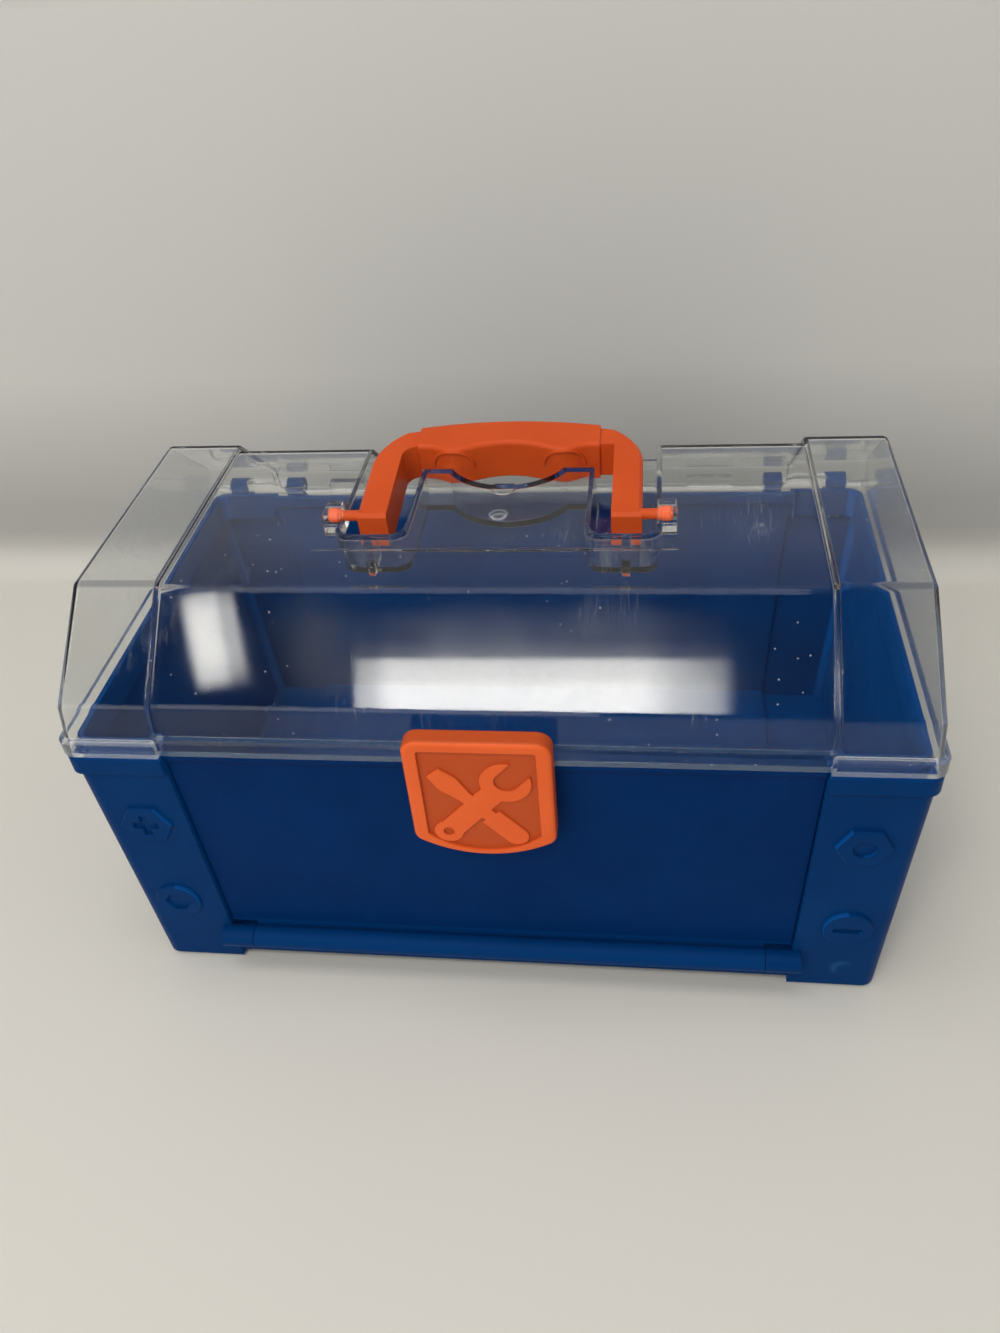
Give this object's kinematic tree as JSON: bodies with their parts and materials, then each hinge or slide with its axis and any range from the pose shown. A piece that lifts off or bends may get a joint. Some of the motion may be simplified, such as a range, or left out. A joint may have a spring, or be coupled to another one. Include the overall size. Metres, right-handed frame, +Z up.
{
  "type": "toy tool box",
  "caption": "Toy tool box: blue tub with a drop-down front panel, clear faceted lid hinged at the back, folding orange carry handle in a lid recess, and an orange front latch.",
  "frame": {"origin": "middle of the footprint, on the surface the box stands on; the latch and the rear hinge eyes reach equally far from it", "axes": "+X along the box to its right end, the front with the latch faces -Y, +Z up"},
  "size_m": [0.33, 0.2072, 0.1905],
  "materials": {
    "tub_blue": "moulded polypropylene, soft gloss",
    "panel_blue": "fine spark-eroded mould texture, low sheen",
    "clear_lid": "clear moulded plastic with light haze and scratches",
    "orange": "moulded polypropylene, soft gloss",
    "pin_steel": "drawn wire, hidden in the hinge eyes"
  },
  "bodies": {
    "tub": {"tub": "tub_blue", "front_hinge_pin_left": "pin_steel", "front_hinge_pin_right": "pin_steel", "rear_hinge_pin_left": "pin_steel", "rear_hinge_pin_right": "pin_steel"},
    "lid": {"lid": "clear_lid"},
    "front_panel": {"front_panel": "panel_blue", "latch_pin": "pin_steel"},
    "handle": {"handle": "orange"},
    "latch": {"latch": "orange"}
  },
  "joints": [
    {"name": "lid_hinge", "type": "hinge", "parent": "tub", "child": "lid", "pos_m": [0, 0.0986, 0.133], "axis": [-1, 0, 0], "range_deg": [0, 105]},
    {"name": "panel_hinge", "type": "hinge", "parent": "tub", "child": "front_panel", "pos_m": [0, -0.0958, 0.0195], "axis": [1, 0, 0], "range_deg": [0, 90]},
    {"name": "handle_pivot", "type": "hinge", "parent": "lid", "child": "handle", "pos_m": [0, -0.0046, 0.1804], "axis": [1, 0, 0], "range_deg": [0, 160]},
    {"name": "latch_pivot", "type": "hinge", "parent": "front_panel", "child": "latch", "pos_m": [0, -0.0973, 0.0975], "axis": [1, 0, 0], "range_deg": [0, 30]}
  ]
}
